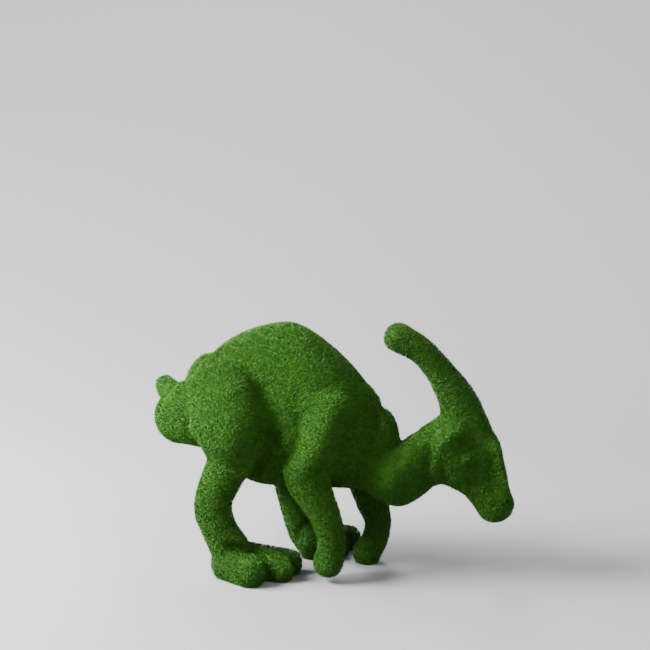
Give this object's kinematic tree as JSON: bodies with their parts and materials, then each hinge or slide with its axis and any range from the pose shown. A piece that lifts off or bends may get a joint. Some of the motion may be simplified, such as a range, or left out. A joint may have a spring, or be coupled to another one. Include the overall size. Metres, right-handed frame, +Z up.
{
  "type": "artificial grass topiary dinosaur",
  "caption": "Free-standing topiary figure of a crested duck-billed dinosaur, clad in artificial grass, grazing with its head held low.",
  "frame": {"origin": "on the ground under the middle of the figure's box", "axes": "+X towards the head, +Y to the figure's left, +Z up"},
  "size_m": [1.3102, 0.513, 0.8543],
  "materials": {
    "turf": "matt polyethylene grass pile"
  },
  "bodies": {
    "root": {"torso": "turf", "neck": "turf", "head": "turf", "crest_base": "turf", "crest_tip": "turf", "right_thigh": "turf", "left_thigh": "turf", "tail_base": "turf", "tail_tip": "turf", "right_shank": "turf", "right_foot": "turf", "left_shank": "turf", "right_upper_arm": "turf", "left_upper_arm": "turf", "right_forearm": "turf", "right_hand": "turf", "left_forearm": "turf", "left_hand": "turf", "right_toe_outer": "turf", "right_toe_middle": "turf", "right_toe_inner": "turf", "left_toe_inner": "turf", "left_toe_middle": "turf", "left_toe_outer": "turf"}
  },
  "joints": []
}
